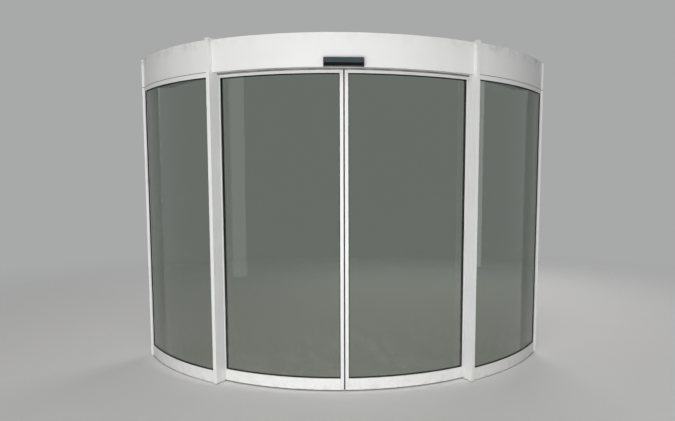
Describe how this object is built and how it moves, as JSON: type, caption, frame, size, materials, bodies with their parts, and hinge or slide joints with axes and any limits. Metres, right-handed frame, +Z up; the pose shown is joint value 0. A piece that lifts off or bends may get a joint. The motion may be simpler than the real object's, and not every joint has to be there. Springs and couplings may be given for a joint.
{
  "type": "curved automatic sliding door",
  "caption": "Curved automatic sliding door: curved glass leaves run behind curved fixed side lights, between slim mullions and under a curved header.",
  "frame": {"origin": "on the floor, under the middle of the door's bounding box", "axes": "+X to the right as seen from outside, +Y into the building, +Z up; outside is -Y"},
  "size_m": [3.376, 1.046, 2.524],
  "materials": {
    "frame_white": "satin white powder coat",
    "leaf_white": "satin white powder coat",
    "track_aluminium": "mill finish extrusion",
    "clear_glass": "clear laminated glass with a faint green tint",
    "black_rubber": "matt black rubber",
    "brush_pile": "grey brush pile",
    "sensor_housing": "dark slate plastic, satin above and glossy below",
    "guide_metal": "brushed",
    "carriage_metal": "zinc plated"
  },
  "bodies": {
    "door_frame": {"doorway_brush": "brush_pile", "fascia_centre": "frame_white", "fascia_left": "frame_white", "fascia_right": "frame_white", "floor_guide_left": "guide_metal", "floor_guide_right": "guide_metal", "header_beam": "track_aluminium", "header_top_plate": "frame_white", "inner_cover_centre": "frame_white", "inner_cover_left": "frame_white", "inner_cover_right": "frame_white", "mullion_left": "frame_white", "mullion_right": "frame_white", "sensor_inner": "sensor_housing", "sensor_outer": "sensor_housing", "side_light_left_bottom_rail": "frame_white", "side_light_left_end_stile": "frame_white", "side_light_left_gasket": "black_rubber", "side_light_left_glass": "clear_glass", "side_light_left_top_rail": "frame_white", "side_light_right_bottom_rail": "frame_white", "side_light_right_end_stile": "frame_white", "side_light_right_gasket": "black_rubber", "side_light_right_glass": "clear_glass", "side_light_right_top_rail": "frame_white", "track_stops": "black_rubber", "wall_post_left": "frame_white", "wall_post_right": "frame_white"},
    "leaf_left": {"leaf_left_bottom_rail": "leaf_white", "leaf_left_carriages": "carriage_metal", "leaf_left_gasket": "black_rubber", "leaf_left_glass": "clear_glass", "leaf_left_meeting_seal": "black_rubber", "leaf_left_meeting_stile": "leaf_white", "leaf_left_top_rail": "leaf_white", "leaf_left_trailing_stile": "leaf_white"},
    "leaf_right": {"leaf_right_bottom_rail": "leaf_white", "leaf_right_carriages": "carriage_metal", "leaf_right_gasket": "black_rubber", "leaf_right_glass": "clear_glass", "leaf_right_meeting_seal": "black_rubber", "leaf_right_meeting_stile": "leaf_white", "leaf_right_top_rail": "leaf_white", "leaf_right_trailing_stile": "leaf_white"}
  },
  "joints": [
    {"name": "leaf_left_slide", "type": "hinge", "parent": "door_frame", "child": "leaf_left", "pos_m": [0, 1.432, 0], "axis": [0, 0, -1], "range_deg": [0, 27]},
    {"name": "leaf_right_slide", "type": "hinge", "parent": "door_frame", "child": "leaf_right", "pos_m": [0, 1.432, 0], "axis": [0, 0, 1], "range_deg": [0, 27]}
  ],
  "couplings": [
    {"joint": "leaf_right_slide", "follows": "leaf_left_slide", "ratio": 1}
  ]
}
